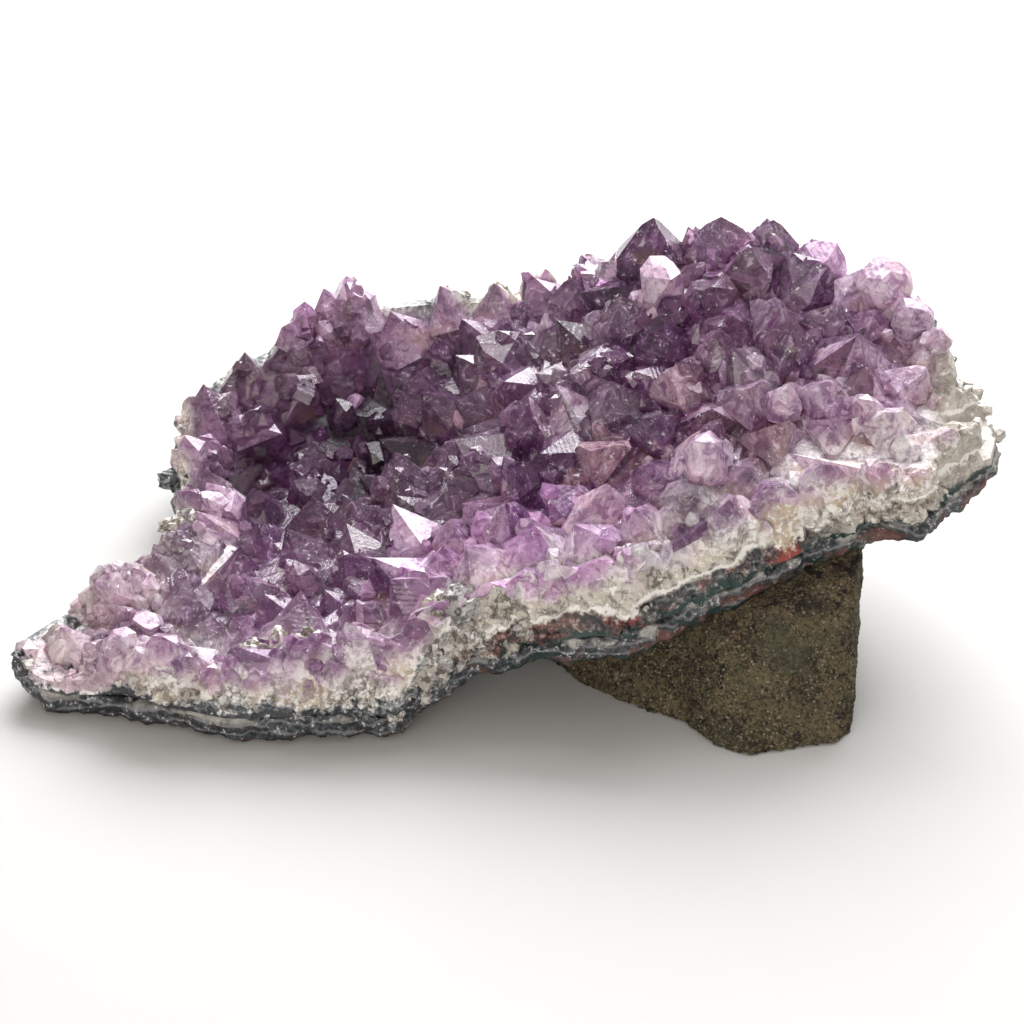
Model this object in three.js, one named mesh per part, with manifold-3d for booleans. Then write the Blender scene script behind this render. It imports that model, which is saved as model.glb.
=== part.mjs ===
// An amethyst cluster. Quartz crystals grew on the wall of a cavity in lava, on a rind of banded agate,
// and a block of the basalt is still stuck underneath and props the plate up.
// Millimetres, +Z up, the open side of the plate towards -Y, the table under the middle of it as the origin.

import * as THREE from 'three';
import { ConvexGeometry } from 'three/addons/geometries/ConvexGeometry.js';
import { mergeVertices } from 'three/addons/utils/BufferGeometryUtils.js';
import Module from 'manifold-3d';

const wasm = await Module();
wasm.setup();

const { clamp, degToRad, lerp, smoothstep, seededRandom } = THREE.MathUtils;

// The plate, seen from above, on axes from its left front: the broken edge runs round this middle
const MIDDLE = new THREE.Vector2(0, 50);
const RIM = [ // x, y and the height of the edge's lower side over the table
  [-82, 13, 2], [-74, 7.5, 0], [-62, 6.5, 0.5], [-49, 1, 0], [-31, 0.5, 0], [-18, 1.5, 1],
  [-11.5, 4, 6], [1, 7, 10], [12, 5, 12], [20.5, 5.5, 14], [33, 10, 18], [46.5, 16, 22],
  [58, 20, 25], [66, 19, 26.5], [73, 25, 28.5], [80, 30, 31.5], [79, 38, 33], [76, 48, 35],
  [72, 58, 38], [67, 68, 40], [57, 76, 41], [44, 82, 41], [30, 86, 39], [16, 90, 34],
  [2, 92, 29], [-10, 97, 26], [-20, 101, 24], [-34, 99, 21], [-46, 93, 17], [-57, 87, 13],
  [-61, 78, 9], [-62, 68, 6], [-59, 56, 4], [-60, 46, 3.5], [-65, 36, 3], [-72, 28, 3], [-79, 20, 2.5],
];
const SPOTS = [ // x, y and height of the surface that the crystals stand on
  [-78, 18, 5], [-70, 24, 5.5], [-62, 34, 5.5], [-57, 48, 6], [-56, 62, 7], [-55, 78, 14], [-50, 86, 20],
  [-36, 91, 20.5], [-18, 92, 21], [0, 86, 27], [12, 81, 37], [24, 74, 48.5], [36, 66, 53], [46, 64, 53],
  [56, 60, 49], [66, 58, 47.5], [68, 48, 41], [72, 38, 38], [76, 31, 35],
  [-72, 12, 6], [-60, 11, 8], [-48, 7, 10.5], [-34, 6, 13], [-20, 8, 14], [-10, 11, 19], [2, 12, 23],
  [13, 11, 26], [24, 12, 28], [34, 16, 31], [46, 21, 35], [58, 25, 39], [66, 25, 39],
  [-34, 24, 10], [-48, 24, 8], [-48, 45, 7], [-30, 45, 10], [-42, 68, 5], [-28, 68, 9], [-34, 80, 13],
  [-15, 80, 19], [-12, 30, 18], [-14, 55, 16], [2, 32, 24], [4, 50, 30], [6, 68, 35], [18, 24, 30],
  [18, 42, 36], [20, 60, 44], [32, 28, 36], [32, 45, 43], [46, 32, 40], [46, 48, 47], [60, 38, 43], [58, 50, 47],
];
const SPOT_REACH = 4; // how far a spot keeps its own height
const QUARTZ_LEAST = 1.5; // white quartz between the rind and the foot of the crystals
const QUARTZ_DEPTH = 2.5; // the same in the middle of the plate, and its growth with height
const QUARTZ_GROWTH = 0.2;
const RIND_THICKNESS = 4.5;
const RIND_LUMP = 1; // height of the lumps under the rind
const RIM_BLEND = 0.55; // share of the way out where the underside starts to follow the rim
const GAP = 0.3; // between neighbouring solids
const SECTORS = 46; // round the plate

// The broken edge of the quartz and its crystals: heights over the foot of the quartz, and how far in it has got
const EDGE = [[-30, 0.5], [0, 0.5], [4, 1.4], [9, 4], [14, 5.4], [60, 4.5]];
const EDGE_ROUGHNESS = 1.3;
const EDGE_MIDDLE = 20;
const EDGE_SECTORS = 58;

// The crystals
const CRYSTALS = [ // x and y of the foot, radius and height, for the ones that stand out
  [25, 75, 6.4, 10.5], [36, 67, 5.2, 11], [45, 69, 5, 8.5], [53, 68, 4.6, 8.5], [64, 61, 5.8, 8.5], [69, 56, 4.4, 7.5],
  [26, 66, 5.4, 8.5], [12, 80, 5, 8.5], [18, 80, 4.4, 9], [19, 59, 5.2, 8], [44, 54, 5.6, 8], [34, 58, 5, 8],
  [41, 62, 5, 8], [50, 61, 5.2, 8], [53, 53, 4.6, 7.5], [60, 52, 4.6, 7], [46, 46, 4.6, 7], [26, 53, 5, 8],
  [17, 44, 6, 9], [28, 42, 5.4, 8], [35, 48, 5, 8.5], [39, 38, 5.4, 8], [32, 29, 5.6, 8.5], [24, 35, 4.4, 8.5],
  [15, 34, 5.6, 8], [42, 29, 4.8, 7], [50, 38, 4.6, 7], [58, 38, 4.6, 7], [65, 41, 4.6, 7], [61, 31, 4.8, 7],
  [52, 30, 4.6, 6.5], [2, 37, 5, 10.5], [-9, 30, 5.4, 7.5], [-2, 69, 5.8, 8.5],
  [3, 49, 5.2, 8.5], [9, 28, 4.8, 7], [-8, 41, 4.6, 7], [-55, 58, 5, 9], [-37, 71, 5, 7], [-56, 42, 5.8, 7.5],
  [-44, 47, 5.2, 7.5], [-27, 45, 5.2, 10],
];
const SEED = 20;
const FILLERS = 106; // crystals in the room that these leave
const FILLER_RADIUS = [5.4, 6.8];
const FILLER_HEIGHT = [4.6, 7.6]; // of the tip over the surface that it stands on
const SPACING = 11.5; // between crystals that push each other apart
const SETTLING = 60; // rounds of pushing
const OUTERMOST = 0.93; // share of the way out where the last crystals stand
const FACE_SLOPE = degToRad(51.8); // of quartz's pyramid faces
const SETBACK = [0.12, 0.3]; // of every other pyramid face on a marked crystal, as a share of its radius
const LEAN = 0.25; // how far a crystal leans off the surface's normal

// The block of basalt: its outline on the table and where that outline has moved to BLOCK_TOP higher up
const BLOCK_FOOT = [
  [38, -3], [46, -1], [54.5, 1.5], [57, 15], [58, 34], [54, 52], [42, 62], [25, 61], [11, 50], [5, 36],
  [6, 24], [13, 15], [22, 9], [28, 6], [31, 0.5],
];
const BLOCK_HEAD = [
  [41, 15], [48, 17], [56, 19], [58, 27], [59, 38], [55, 52], [43, 60], [27, 60], [12, 52], [6, 44],
  [7, 36], [14, 30], [24, 25], [30, 22], [34, 18],
];
const BLOCK_TOP = 28;
const BLOCK_HEIGHT = 50;
const BLOCK_ROUGHNESS = 0.7;
const BLOCK_SECTORS = 36;
const BLOCK_LEVELS = 7;

// Heights on the plate are named by level: 0 is the underside, 1 the top of the rind, 2 the foot of the quartz
// and 3 the surface that the crystals stand on. A level between two of them is a share of the way.
const UNDERSIDE = 0;
const RIND_TOP = 1;
const QUARTZ_FOOT = 2;
const QUARTZ_TOP = 3;
const FAR_OUT = 1.5; // share of the way out that is clear of the whole piece
const BENDS = [FAR_OUT, 0.94, 0.76, 0.5, 0.25]; // shares of the way out where the levels bend

const rim = new THREE.CatmullRomCurve3(RIM.map((p) => new THREE.Vector3(...p)), true, 'catmullrom', 0.5);

// A closed mesh as a solid that can be joined and cut
function solidOf(geometry) {
  const bare = geometry.clone();
  bare.deleteAttribute('normal');
  bare.deleteAttribute('uv');
  const merged = mergeVertices(bare, 1e-4);
  const corners = [];
  for (let i = 0; i < merged.index.count; i += 3) {
    const [a, b, c] = [0, 1, 2].map((k) => merged.index.getX(i + k));
    if (a !== b && b !== c && c !== a) corners.push(a, b, c);
  }
  const mesh = new wasm.Mesh({
    numProp: 3,
    vertProperties: merged.attributes.position.array,
    triVerts: new Uint32Array(corners),
  });
  return new wasm.Manifold(mesh);
}

// The outer surface of a solid. A small hollow that crystals have grown shut over is left filled.
function geometryOf(solid) {
  const { vertProperties, triVerts } = solid.getMesh();
  const parent = Array.from({ length: vertProperties.length / 3 }, (_, i) => i);
  const find = (i) => {
    while (parent[i] !== i) i = parent[i];
    return i;
  };
  for (let i = 0; i < triVerts.length; i += 3) {
    parent[find(triVerts[i + 1])] = find(triVerts[i]);
    parent[find(triVerts[i + 2])] = find(triVerts[i]);
  }
  const sizes = new Map();
  triVerts.forEach((i) => sizes.set(find(i), (sizes.get(find(i)) ?? 0) + 1));
  const [outside] = [...sizes].sort((a, b) => b[1] - a[1])[0];
  const geometry = new THREE.BufferGeometry();
  geometry.setAttribute('position', new THREE.BufferAttribute(vertProperties, 3));
  geometry.setIndex(Array.from(triVerts).filter((i) => find(i) === outside));
  return mergeVertices(geometry.toNonIndexed(), 1e-5);
}

// Slow waves that never line up, from -1 to 1
function waves(x, y, z = 0) {
  return (Math.sin(x / 3.1 + z / 4.3 + 1.3) * Math.sin(y / 3.7 - z / 5.1 + 0.4)
    + Math.sin((x + y) / 6.7 + 2.1) * Math.sin((x - y + z) / 5.9 + 0.7)) / 2;
}

function spotHeight(x, y) {
  let sum = 0;
  let weights = 0;
  for (const [spotX, spotY, height] of SPOTS) {
    const weight = 1 / ((x - spotX) ** 2 + (y - spotY) ** 2 + SPOT_REACH ** 2) ** 2;
    sum += weight * height;
    weights += weight;
  }
  return sum / weights;
}

// The point a share of the way from the middle to the rim, at turn 0 to 1 round the plate, on a level
function onPlate(share, turn, level) {
  const edge = rim.getPoint(turn);
  const x = lerp(MIDDLE.x, edge.x, share);
  const y = lerp(MIDDLE.y, edge.y, share);
  const spot = spotHeight(x, y);
  const bottom = spot - QUARTZ_DEPTH - QUARTZ_GROWTH * spot - RIND_THICKNESS;
  const blended = lerp(bottom, edge.z, smoothstep(share, RIM_BLEND, 1));
  const underside = Math.max(0, blended - RIND_LUMP * waves(x, y));
  const foot = underside + RIND_THICKNESS;
  const top = Math.max(spot, foot + QUARTZ_LEAST);
  const heights = [underside, foot - GAP, foot, top];
  const i = clamp(Math.floor(level), UNDERSIDE, QUARTZ_FOOT);
  return new THREE.Vector3(x, y, lerp(heights[i], heights[i + 1], level - i));
}

// A round of the plate from its lowest middle to its highest, through shares of the way out on their levels.
// A lathe makes it, and each point then goes to its place.
function layer(profile) {
  const points = profile.map(([share, level]) => new THREE.Vector2(share, level));
  const geometry = new THREE.LatheGeometry(points, SECTORS);
  const position = geometry.attributes.position;
  for (let i = 0; i < position.count; i += 1) {
    const [share, level] = profile[i % profile.length];
    const turn = Math.floor(i / profile.length) / SECTORS;
    const p = onPlate(share, turn % 1, level);
    position.setXYZ(i, p.x, p.y, p.z);
  }
  return solidOf(geometry);
}

// Everything inside the broken edge of the quartz
function insideEdge() {
  const profile = [{ rise: EDGE[0][0] }, ...EDGE.map(([rise, inward]) => ({ rise, inward })), { rise: EDGE.at(-1)[0] }];
  const points = profile.map(({ rise, inward }) => new THREE.Vector2(inward === undefined ? 0 : 1, rise));
  const geometry = new THREE.LatheGeometry(points, EDGE_SECTORS);
  const position = geometry.attributes.position;
  for (let i = 0; i < position.count; i += 1) {
    const { rise, inward } = profile[i % profile.length];
    const edge = rim.getPoint((Math.floor(i / profile.length) / EDGE_SECTORS) % 1);
    const p = new THREE.Vector2(edge.x, edge.y).sub(MIDDLE);
    const rough = EDGE_ROUGHNESS * waves(2 * edge.x, 2 * edge.y, 2 * rise);
    p.setLength(inward === undefined ? 0 : p.length() - Math.max(0, inward + rough)).add(MIDDLE);
    position.setXYZ(i, p.x, p.y, rise + RIND_THICKNESS + (inward === undefined ? EDGE_MIDDLE : edge.z));
  }
  return solidOf(geometry);
}

// Where three planes meet, if they do
function meeting([a, b, c]) {
  const rows = new THREE.Matrix3().set(...a.normal.toArray(), ...b.normal.toArray(), ...c.normal.toArray());
  if (Math.abs(rows.determinant()) < 1e-6) return null;
  return new THREE.Vector3(-a.constant, -b.constant, -c.constant).applyMatrix3(rows.invert());
}

// The corners of the solid behind all these planes
function cornersOf(planes) {
  const corners = [];
  planes.forEach((a, i) => planes.slice(i + 1).forEach((b, j) => planes.slice(i + j + 2).forEach((c) => {
    const p = meeting([a, b, c]);
    if (!p || planes.some((plane) => plane.distanceToPoint(p) > 1e-6)) return;
    if (corners.every((q) => q.distanceTo(p) > 0.02)) corners.push(p);
  })));
  return corners;
}

function facing(x, y, z, distance) {
  return new THREE.Plane(new THREE.Vector3(x, y, z), -distance);
}

// A quartz crystal with its tip at the origin: a six-sided prism under six faces. Every other face can be set
// back from the tip, and then the side of the prism below it is set back as well.
function crystalGeometry(radius, length, setback) {
  const planes = [facing(0, 0, -1, length)];
  for (let k = 0; k < 6; k += 1) {
    const turn = k * Math.PI / 3;
    const [x, y] = [Math.cos(turn), Math.sin(turn)];
    const back = k % 2 ? radius * setback : 0;
    planes.push(facing(x, y, 0, radius - back / Math.sin(FACE_SLOPE)));
    planes.push(facing(x * Math.sin(FACE_SLOPE), y * Math.sin(FACE_SLOPE), Math.cos(FACE_SLOPE), -back));
  }
  return new ConvexGeometry(cornersOf(planes));
}

function surfaceNormal(x, y) {
  const step = 1.5;
  const rise = (dx, dy) => (spotHeight(x + dx, y + dy) - spotHeight(x - dx, y - dy)) / (2 * step);
  return new THREE.Vector3(-rise(step, 0), -rise(0, step), 1).normalize();
}

// The share of the way out and the turn of a place on the plate
const rimWay = Array.from({ length: 720 }, (_, i) => {
  const edge = rim.getPoint(i / 720);
  return { turn: i / 720, angle: Math.atan2(edge.y - MIDDLE.y, edge.x - MIDDLE.x), edge };
});
function placeOf(x, y) {
  const angle = Math.atan2(y - MIDDLE.y, x - MIDDLE.x);
  const off = (way) => Math.abs(Math.sin((way.angle - angle) / 2));
  const nearest = rimWay.reduce((best, way) => (off(way) < off(best) ? way : best));
  const reach = Math.hypot(nearest.edge.x - MIDDLE.x, nearest.edge.y - MIDDLE.y);
  return { share: Math.hypot(x - MIDDLE.x, y - MIDDLE.y) / reach, turn: nearest.turn };
}

// Crystals push their neighbours along the plate until they stand about evenly, with the marked ones in place
function settle(roots, fixed) {
  for (let round = 0; round < SETTLING; round += 1) {
    for (let i = fixed; i < roots.length; i += 1) {
      const push = new THREE.Vector3();
      roots.forEach((other, j) => {
        const apart = roots[i].distanceTo(other);
        if (j === i || apart > SPACING) return;
        push.addScaledVector(roots[i].clone().sub(other), 0.5 * (SPACING - apart) / (apart + 0.01));
      });
      push.clampLength(0, 2);
      const { share, turn } = placeOf(roots[i].x + push.x, roots[i].y + push.y);
      roots[i] = onPlate(Math.min(share, OUTERMOST), turn, QUARTZ_TOP);
    }
  }
}

function growCrystals() {
  const roots = CRYSTALS.map(([x, y]) => {
    const { share, turn } = placeOf(x, y);
    return onPlate(share, turn, QUARTZ_TOP);
  });
  for (let i = 0; i < FILLERS; i += 1) {
    roots.push(onPlate(OUTERMOST * Math.sqrt(seededRandom()), seededRandom(), QUARTZ_TOP));
  }
  settle(roots, CRYSTALS.length);
  return roots.map((root, i) => {
    const marked = i < CRYSTALS.length;
    const [radius, height] = marked
      ? CRYSTALS[i].slice(2)
      : [lerp(...FILLER_RADIUS, seededRandom()), lerp(...FILLER_HEIGHT, seededRandom())];
    const { share, turn } = placeOf(root.x, root.y);
    const edge = rim.getPoint(turn);
    const outward = new THREE.Vector3(edge.x - MIDDLE.x, edge.y - MIDDLE.y, 0).normalize();
    const fall = clamp((root.z - edge.z - RIND_THICKNESS) / 8, 0, 1);
    const lean = marked ? 0 : 2 * LEAN;
    const axis = surfaceNormal(root.x, root.y)
      .addScaledVector(outward, 0.4 * fall * smoothstep(share, 0.8, OUTERMOST))
      .add(new THREE.Vector3(seededRandom() - 0.5, seededRandom() - 0.5, 0).multiplyScalar(lean))
      .normalize();
    const spin = seededRandom() * Math.PI / 3;
    const squeeze = lerp(0.85, 1, seededRandom());
    const slant = lerp(-0.15, 0.15, seededRandom());
    const setback = marked ? lerp(...SETBACK, seededRandom()) : 0;
    return { root, axis, radius, height, spin, squeeze, slant, setback };
  });
}

function crystalSolid({ root, axis, radius, height, spin, squeeze, slant, setback }) {
  const geometry = crystalGeometry(radius, height + radius, setback);
  const across = new THREE.Matrix4().makeShear(0, 0, slant, 0, 0, 0).scale(new THREE.Vector3(1, squeeze, 1));
  const turned = new THREE.Quaternion().setFromUnitVectors(new THREE.Vector3(0, 0, 1), axis);
  geometry.applyMatrix4(across);
  geometry.rotateZ(spin);
  geometry.applyQuaternion(turned);
  geometry.translate(...root.clone().addScaledVector(axis, height).toArray());
  return solidOf(geometry);
}

// The block's outline at a turn of 0 to 1 and at a height
function onBlock(turn, height) {
  const at = turn * BLOCK_FOOT.length;
  const i = Math.floor(at) % BLOCK_FOOT.length;
  const j = (i + 1) % BLOCK_FOOT.length;
  const [x, y] = [0, 1].map((k) => {
    const foot = lerp(BLOCK_FOOT[i][k], BLOCK_FOOT[j][k], at % 1);
    const head = lerp(BLOCK_HEAD[i][k], BLOCK_HEAD[j][k], at % 1);
    return lerp(foot, head, height / BLOCK_TOP);
  });
  return new THREE.Vector3(x, y, height);
}

function blockSolid() {
  const profile = [[0, 0]];
  for (let k = 0; k <= BLOCK_LEVELS; k += 1) profile.push([1, BLOCK_HEIGHT * k / BLOCK_LEVELS]);
  profile.push([0, BLOCK_HEIGHT]);
  const geometry = new THREE.LatheGeometry(profile.map((p) => new THREE.Vector2(...p)), BLOCK_SECTORS);
  const position = geometry.attributes.position;
  const middle = new THREE.Vector3(36, 32, 0);
  for (let i = 0; i < position.count; i += 1) {
    const [share, height] = profile[i % profile.length];
    const turn = Math.floor(i / profile.length) / BLOCK_SECTORS;
    const p = onBlock(turn % 1, height);
    const out = p.clone().sub(middle).setZ(0).normalize();
    p.addScaledVector(out, BLOCK_ROUGHNESS * waves(2.3 * p.x, 2.3 * p.y, 2.1 * height));
    position.setXYZ(i, lerp(middle.x, p.x, share), lerp(middle.y, p.y, share), height);
  }
  return solidOf(geometry);
}

// Everything below a level
function below(level) {
  return layer([[0, -12], [FAR_OUT, -12], ...BENDS.map((share) => [share, level]), [0, level]]);
}

const rind = layer([[0, -12], [0.985, -12], [0.985, -0.5], [1.005, 0.5], [1, 2.5], [0, 2.5]])
  .intersect(below(RIND_TOP))
  .subtract(below(UNDERSIDE));

seededRandom(SEED);
const crystals = growCrystals();
let crust = below(QUARTZ_TOP);
for (const crystal of crystals) crust = crust.add(crystalSolid(crystal));
crust = crust.intersect(insideEdge()).subtract(below(QUARTZ_FOOT));

const block = blockSolid().intersect(below(-GAP / RIND_THICKNESS));

const cluster = new THREE.Group();
const pieces = [
  { name: 'amethyst_crust', solid: crust, color: '#7d5a93', roughness: 0.25 },
  { name: 'agate_rind', solid: rind, color: '#5b6064', roughness: 0.6 },
  { name: 'basalt_block', solid: block, color: '#6b6456', roughness: 0.9 },
];
for (const { name, solid, color, roughness } of pieces) {
  const material = new THREE.MeshStandardMaterial({ color, roughness, metalness: 0 });
  const mesh = new THREE.Mesh(geometryOf(solid), material);
  mesh.name = name;
  cluster.add(mesh);
}
const middle = new THREE.Box3().setFromObject(cluster).getCenter(new THREE.Vector3());
for (const mesh of cluster.children) mesh.geometry.translate(-middle.x, -middle.y, 0);

export default cluster;
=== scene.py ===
# Looks of the amethyst cluster: the grown crust of crystals, the agate rind and the basalt block.
import itertools
import math
from collections import Counter, namedtuple

import bmesh
import bpy
import numpy as np
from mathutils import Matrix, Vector, noise
from mathutils.bvhtree import BVHTree
from mathutils.kdtree import KDTree


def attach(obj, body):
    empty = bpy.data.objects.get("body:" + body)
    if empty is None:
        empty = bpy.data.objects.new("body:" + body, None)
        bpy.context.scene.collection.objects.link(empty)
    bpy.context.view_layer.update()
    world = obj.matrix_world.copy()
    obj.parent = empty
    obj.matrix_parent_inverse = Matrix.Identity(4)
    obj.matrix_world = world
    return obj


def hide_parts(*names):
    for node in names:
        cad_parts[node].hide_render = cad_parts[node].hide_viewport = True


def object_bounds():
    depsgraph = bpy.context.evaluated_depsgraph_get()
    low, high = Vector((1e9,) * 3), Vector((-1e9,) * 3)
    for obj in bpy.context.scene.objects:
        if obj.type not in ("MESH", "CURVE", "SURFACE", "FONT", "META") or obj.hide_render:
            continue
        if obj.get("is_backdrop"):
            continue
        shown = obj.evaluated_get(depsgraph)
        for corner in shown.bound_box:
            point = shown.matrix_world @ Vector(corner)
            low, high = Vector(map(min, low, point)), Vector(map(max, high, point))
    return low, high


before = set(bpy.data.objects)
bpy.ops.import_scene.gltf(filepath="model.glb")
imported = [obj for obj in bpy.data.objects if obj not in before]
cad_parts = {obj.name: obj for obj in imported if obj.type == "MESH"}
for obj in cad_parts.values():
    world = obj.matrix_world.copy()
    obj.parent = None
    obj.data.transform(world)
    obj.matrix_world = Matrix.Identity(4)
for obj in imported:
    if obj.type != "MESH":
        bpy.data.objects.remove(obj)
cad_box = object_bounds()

MM = 0.001
random = np.random.default_rng(7)

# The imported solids

WELD = 0.002 * MM  # corners closer than this are one
FLATTEST_VALLEY = 0.02 * MM  # how far the next face rises where two faces meet in a valley


def welded(node):
    """A node's mesh with its split corners joined."""
    bm = bmesh.new()
    bm.from_mesh(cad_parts[node].data)
    bmesh.ops.remove_doubles(bm, verts=bm.verts, dist=WELD)
    bm.normal_update()
    bm.faces.ensure_lookup_table()
    bm.verts.ensure_lookup_table()
    return bm


def object_of(name, data):
    o = bpy.data.objects.new(name, data)
    bpy.context.scene.collection.objects.link(o)
    return o


def applied(o, name):
    """A new mesh with the object's modifiers in it."""
    graph = bpy.context.evaluated_depsgraph_get()
    mesh = bpy.data.meshes.new_from_object(o.evaluated_get(graph))
    mesh.name = name
    return mesh


def store(mesh, name, kind, domain, values):
    """Gives each face or point of a mesh a value that the shaders read by its name."""
    key = {"FLOAT": "value", "FLOAT_VECTOR": "vector", "FLOAT_COLOR": "color"}[kind]
    mesh.attributes.new(name, kind, domain).data.foreach_set(key, np.asarray(values, np.float32).ravel())


def tree_of(points):
    """A search tree that finds the nearest of some points, and its number."""
    tree = KDTree(len(points))
    for i, p in enumerate(points):
        tree.insert(p, i)
    tree.balance()
    return tree


crust = welded("amethyst_crust")

# Tips, valleys and the lower edge of the crust


def is_valley(edge):
    if len(edge.link_faces) != 2:
        return False
    a, b = edge.link_faces
    start = edge.verts[0].co
    far = max(b.verts, key=lambda v: abs((v.co - start).dot(a.normal)))
    return (far.co - start).dot(a.normal) > FLATTEST_VALLEY


valleys = [e for e in crust.edges if is_valley(e)]
valley_corners = {v.index for e in valleys for v in e.verts}


def axis_of(corner):
    """The axis of the crystal that has its tip in a corner, or None where the corner is no tip."""
    if corner.index in valley_corners or len(corner.link_faces) < 3:
        return None
    axis = sum((f.normal for f in corner.link_faces), Vector()).normalized()
    leans = [f.normal.dot(axis) for f in corner.link_faces]
    is_pyramid = axis.z > 0.3 and 0.4 < min(leans) and max(leans) < 0.85
    is_top = all((e.other_vert(corner).co - corner.co).dot(axis) < 0 for e in corner.link_edges)
    return axis if is_pyramid and is_top else None


tips = []  # place and axis of each
for corner in crust.verts:
    tip_direction = axis_of(corner)
    if tip_direction is not None:
        tips.append((corner.co.copy(), tip_direction))
tip_tree = tree_of([place for place, _ in tips])

MIDDLE = Vector((0.8, 1.1, 0)) * MM  # the plate's rim runs round this point
SECTOR = 4  # in degrees; the rim's outermost point is found in each
RIM_STEPS = 8  # points between two of those
outermost = {}
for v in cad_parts["agate_rind"].data.vertices:
    out = v.co - MIDDLE
    sector = round(math.degrees(math.atan2(out.y, out.x)) / SECTOR) % (360 // SECTOR)
    if sector not in outermost or out.xy.length > (outermost[sector] - MIDDLE).xy.length:
        outermost[sector] = v.co.copy()
rim = [outermost[k] for k in sorted(outermost)]
rim_points = [p.lerp(q, k / RIM_STEPS) for p, q in zip(rim, rim[1:] + rim[:1]) for k in range(RIM_STEPS)]
rim_tree = tree_of(rim_points)


def faces_down(face):
    return face.normal.z < -0.3


foot_faces = [[v.index for v in f.verts] for f in crust.faces if faces_down(f)]
foot_tree = BVHTree.FromPolygons([v.co for v in crust.verts], foot_faces)
seam = [v.co for v in crust.verts if len({faces_down(f) for f in v.link_faces}) == 2]
seam_tree = tree_of([(co.x, co.y, 0) for co in seam])


def over_seam(p):
    """Height of a point over the nearest lower edge of the quartz, in millimetres."""
    return (p.z - seam[seam_tree.find((p.x, p.y, 0))[1]].z) / MM


def over_foot(p):
    """Height of a point over the foot of the quartz, in millimetres."""
    below = foot_tree.ray_cast(Vector((p.x, p.y, -1)), Vector((0, 0, 1)))[0]
    return (p.z - below.z) / MM if below else over_seam(p)


def inward(p):
    """How far a point is from the rim as seen from above, in millimetres."""
    level = rim_tree.find(p)[0].z
    return (rim_tree.find(Vector((p.x, p.y, level)))[0] - p).xy.length / MM


def owner(face):
    """The tip whose crystal a face belongs to, or None on the wall and the ground between crystals."""
    centre = face.calc_center_median()
    best, least = None, 1.0
    for place, i, far in tip_tree.find_n(centre, 6):
        off = abs((place - centre).dot(face.normal))
        lean = face.normal.dot(tips[i][1])
        cost = off / (2 * MM) + far / (30 * MM)
        if off < 1.9 * MM and far < 11 * MM and -0.2 < lean < 0.9 and cost < least:
            best, least = i, cost
    return best


owners = {f.index: owner(f) for f in crust.faces}

# A quartz crystal from its faces' planes

PYRAMID = math.radians(51.8)  # between quartz's axis and the normal of a pyramid face
PLANES = 13  # six sides, six pyramid faces and the lower end
TRIPLES = np.array(list(itertools.combinations(range(PLANES), 3)))
SAME_CORNER = 0.03 * MM
ON_FACE = 0.035 * MM


def crystal_planes(radius, length, spin, widths, setbacks):
    """Normals and distances of a crystal's faces, with its tip at the origin. Each face may be set back."""
    normals, distances = [], []
    for k in range(6):
        turn = spin + k * math.pi / 3
        c, s = math.cos(turn), math.sin(turn)
        normals += [(c, s, 0), (c * math.sin(PYRAMID), s * math.sin(PYRAMID), math.cos(PYRAMID))]
        distances += [radius * widths[k], -radius * setbacks[k]]
    return np.array([*normals, (0, 0, -1)]), np.array([*distances, length])


def in_order(on_face, corners, normal):
    """The corners of one face, in their order round it."""
    spokes = corners[on_face] - corners[on_face].mean(0)
    across = spokes[0] / np.linalg.norm(spokes[0])
    turns = np.arctan2(spokes @ np.cross(normal, across), spokes @ across)
    return [int(i) for i in on_face[np.argsort(turns)]]


def solid_behind(normals, distances):
    """Corners and faces of the solid behind some planes, or None where they don't close."""
    threes = normals[TRIPLES]
    meet = np.abs(np.linalg.det(threes)) > 1e-4
    points = np.linalg.solve(threes[meet], distances[TRIPLES][meet][..., None])[..., 0]
    points = points[(points @ normals.T <= distances + 1e-7).all(1)]
    corners = []
    for p in points:
        if all(np.abs(p - c).max() > SAME_CORNER for c in corners):
            corners.append(p)
    corners = np.array(corners)
    faces = []
    for normal, distance in zip(normals, distances):
        on_face = np.flatnonzero(np.abs(corners @ normal - distance) < ON_FACE)
        if len(on_face) >= 3:
            faces.append(in_order(on_face, corners, normal))
    edges = Counter((f[i - 1], f[i]) for f in faces for i in range(len(f)))
    closed = all(count == 1 and edges[(b, a)] == 1 for (a, b), count in edges.items())
    return (corners, faces) if closed else None


def directions_of(axis):
    """Three directions at right angles as columns, the last of them along an axis."""
    z = np.array(axis, float)
    z /= np.linalg.norm(z)
    x = np.cross(z, (0.3, 0.2, 1.0) if abs(z[2]) < 0.9 else (1.0, 0.3, 0.1))
    x /= np.linalg.norm(x)
    return np.stack([x, np.cross(z, x), z], axis=1)


Crystal = namedtuple("Crystal", "tip axis corners faces colour rough")
grown = []


def grow(tip, axis, radius, length, colour=None, rough=False):
    """A crystal with its tip at a place, short enough to end above the foot of the quartz."""
    clearance = 0.5 + 0.5 * radius / MM
    excess = clearance - over_foot(Vector(tip) - Vector(axis) * length)
    length -= max(excess, 0) * MM
    if length < 0.7 * radius:
        return
    widths = random.uniform(0.8, 1.15, 6)
    setbacks = np.where(np.arange(6) % 2 == 0, random.uniform(0, 0.12, 6), random.uniform(0.05, 0.35, 6))
    spin = random.uniform(0, math.pi / 3)
    shape = solid_behind(*crystal_planes(radius, length, spin, widths, setbacks))
    if shape is not None:
        corners = shape[0] @ directions_of(axis).T + np.array(tip)
        grown.append(Crystal(np.array(tip), np.array(axis), corners, shape[1], colour, rough))


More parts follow.
